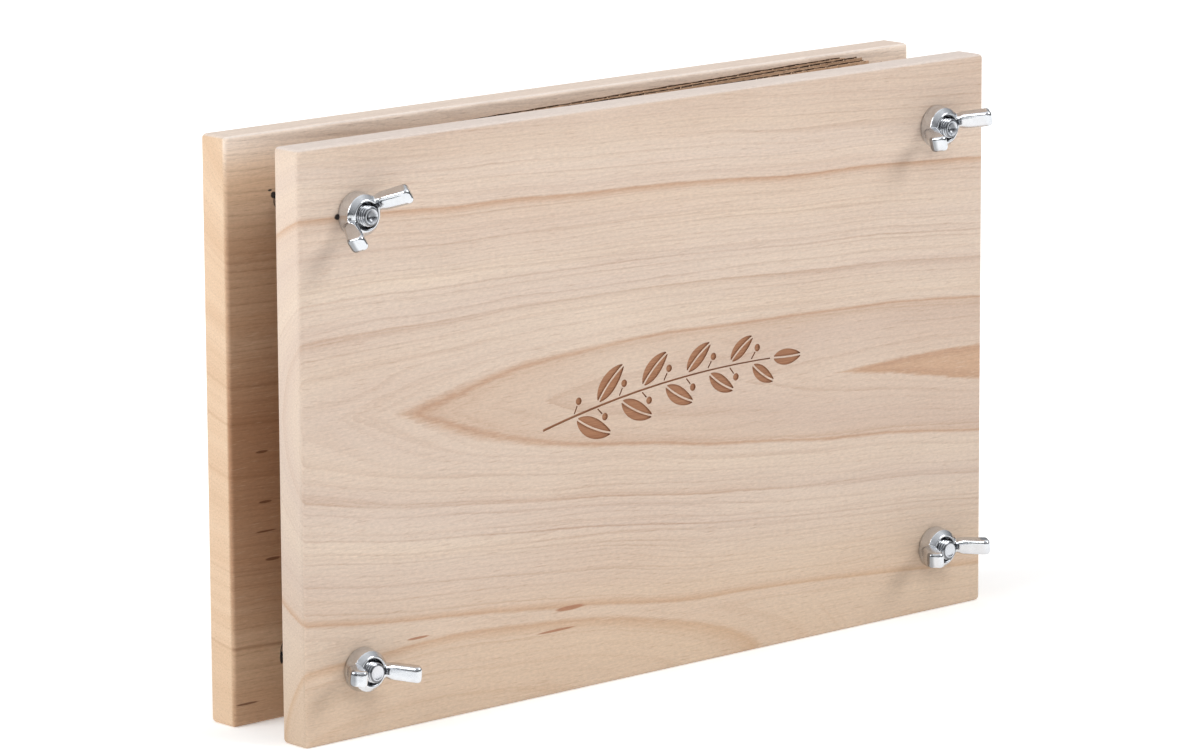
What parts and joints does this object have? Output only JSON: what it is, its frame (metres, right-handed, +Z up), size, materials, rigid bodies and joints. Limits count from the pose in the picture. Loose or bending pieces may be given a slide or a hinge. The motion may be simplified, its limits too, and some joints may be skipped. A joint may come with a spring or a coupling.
{
  "type": "flower press",
  "caption": "Wooden flower press: two flat boards drawn together by corner bolts with wing nuts, with corrugated cards and blotting papers layered between them.",
  "frame": {"origin": "bottom centre of the press: on the long edges it stands on, midway along the boards and midway from the wing tips to the bolt heads", "axes": "+X along the boards to the right as seen from the wing nuts, +Y from the wing nuts to the back, +Z up from the standing edge"},
  "size_m": [0.275, 0.0628, 0.175],
  "materials": {
    "board_wood": "matte",
    "bolt_zinc": "satin",
    "nut_zinc": "polished",
    "card_kraft": "matte",
    "blotting_paper": "matte"
  },
  "bodies": {
    "back": {"back_board": "board_wood", "bolt_upper_left": "bolt_zinc", "bolt_upper_right": "bolt_zinc", "bolt_lower_left": "bolt_zinc", "bolt_lower_right": "bolt_zinc"},
    "front": {"front_board": "board_wood"},
    "nut_upper_left": {"wing_nut_upper_left": "nut_zinc"},
    "nut_upper_right": {"wing_nut_upper_right": "nut_zinc"},
    "nut_lower_left": {"wing_nut_lower_left": "nut_zinc"},
    "nut_lower_right": {"wing_nut_lower_right": "nut_zinc"},
    "card_1": {"card_1": "card_kraft"},
    "card_2": {"card_2": "card_kraft"},
    "card_3": {"card_3": "card_kraft"},
    "card_4": {"card_4": "card_kraft"},
    "card_5": {"card_5": "card_kraft"},
    "card_6": {"card_6": "card_kraft"},
    "blotting_paper_1": {"blotting_paper_1": "blotting_paper"},
    "blotting_paper_2": {"blotting_paper_2": "blotting_paper"},
    "blotting_paper_3": {"blotting_paper_3": "blotting_paper"},
    "blotting_paper_4": {"blotting_paper_4": "blotting_paper"},
    "blotting_paper_5": {"blotting_paper_5": "blotting_paper"},
    "blotting_paper_6": {"blotting_paper_6": "blotting_paper"},
    "blotting_paper_7": {"blotting_paper_7": "blotting_paper"},
    "blotting_paper_8": {"blotting_paper_8": "blotting_paper"},
    "blotting_paper_9": {"blotting_paper_9": "blotting_paper"},
    "blotting_paper_10": {"blotting_paper_10": "blotting_paper"},
    "blotting_paper_11": {"blotting_paper_11": "blotting_paper"},
    "blotting_paper_12": {"blotting_paper_12": "blotting_paper"}
  },
  "joints": [
    {"name": "open_front", "type": "slide", "parent": "back", "child": "front", "axis": [0, -1, 0], "range_m": [0, 0.0045]},
    {"name": "turn_nut_upper_left", "type": "hinge", "parent": "front", "child": "nut_upper_left", "pos_m": [-0.1165, -0.01701, 0.1545], "axis": [0, -1, 0], "range_deg": [0, 1620.5]},
    {"name": "turn_nut_upper_right", "type": "hinge", "parent": "front", "child": "nut_upper_right", "pos_m": [0.1165, -0.01701, 0.1545], "axis": [0, -1, 0], "range_deg": [0, 1620.5]},
    {"name": "turn_nut_lower_left", "type": "hinge", "parent": "front", "child": "nut_lower_left", "pos_m": [-0.1165, -0.01701, 0.0205], "axis": [0, -1, 0], "range_deg": [0, 1620.5]},
    {"name": "turn_nut_lower_right", "type": "hinge", "parent": "front", "child": "nut_lower_right", "pos_m": [0.1165, -0.01701, 0.0205], "axis": [0, -1, 0], "range_deg": [0, 1620.5]},
    {"name": "draw_card_1", "type": "slide", "parent": "back", "child": "card_1", "axis": [0, 0, 1], "range_m": [0, 0.175]},
    {"name": "draw_card_2", "type": "slide", "parent": "back", "child": "card_2", "axis": [0, 0, 1], "range_m": [0, 0.175]},
    {"name": "draw_card_3", "type": "slide", "parent": "back", "child": "card_3", "axis": [0, 0, 1], "range_m": [0, 0.175]},
    {"name": "draw_card_4", "type": "slide", "parent": "back", "child": "card_4", "axis": [0, 0, 1], "range_m": [0, 0.175]},
    {"name": "draw_card_5", "type": "slide", "parent": "back", "child": "card_5", "axis": [0, 0, 1], "range_m": [0, 0.175]},
    {"name": "draw_card_6", "type": "slide", "parent": "back", "child": "card_6", "axis": [0, 0, 1], "range_m": [0, 0.175]},
    {"name": "draw_blotting_paper_1", "type": "slide", "parent": "back", "child": "blotting_paper_1", "axis": [0, 0, 1], "range_m": [0, 0.175]},
    {"name": "draw_blotting_paper_2", "type": "slide", "parent": "back", "child": "blotting_paper_2", "axis": [0, 0, 1], "range_m": [0, 0.175]},
    {"name": "draw_blotting_paper_3", "type": "slide", "parent": "back", "child": "blotting_paper_3", "axis": [0, 0, 1], "range_m": [0, 0.175]},
    {"name": "draw_blotting_paper_4", "type": "slide", "parent": "back", "child": "blotting_paper_4", "axis": [0, 0, 1], "range_m": [0, 0.175]},
    {"name": "draw_blotting_paper_5", "type": "slide", "parent": "back", "child": "blotting_paper_5", "axis": [0, 0, 1], "range_m": [0, 0.175]},
    {"name": "draw_blotting_paper_6", "type": "slide", "parent": "back", "child": "blotting_paper_6", "axis": [0, 0, 1], "range_m": [0, 0.175]},
    {"name": "draw_blotting_paper_7", "type": "slide", "parent": "back", "child": "blotting_paper_7", "axis": [0, 0, 1], "range_m": [0, 0.175]},
    {"name": "draw_blotting_paper_8", "type": "slide", "parent": "back", "child": "blotting_paper_8", "axis": [0, 0, 1], "range_m": [0, 0.175]},
    {"name": "draw_blotting_paper_9", "type": "slide", "parent": "back", "child": "blotting_paper_9", "axis": [0, 0, 1], "range_m": [0, 0.175]},
    {"name": "draw_blotting_paper_10", "type": "slide", "parent": "back", "child": "blotting_paper_10", "axis": [0, 0, 1], "range_m": [0, 0.175]},
    {"name": "draw_blotting_paper_11", "type": "slide", "parent": "back", "child": "blotting_paper_11", "axis": [0, 0, 1], "range_m": [0, 0.175]},
    {"name": "draw_blotting_paper_12", "type": "slide", "parent": "back", "child": "blotting_paper_12", "axis": [0, 0, 1], "range_m": [0, 0.175]}
  ],
  "couplings": [
    {"joint": "turn_nut_upper_left", "follows": "open_front", "rad_per_m": 6283.2},
    {"joint": "turn_nut_upper_right", "follows": "open_front", "rad_per_m": 6283.2},
    {"joint": "turn_nut_lower_left", "follows": "open_front", "rad_per_m": 6283.2},
    {"joint": "turn_nut_lower_right", "follows": "open_front", "rad_per_m": 6283.2}
  ]
}
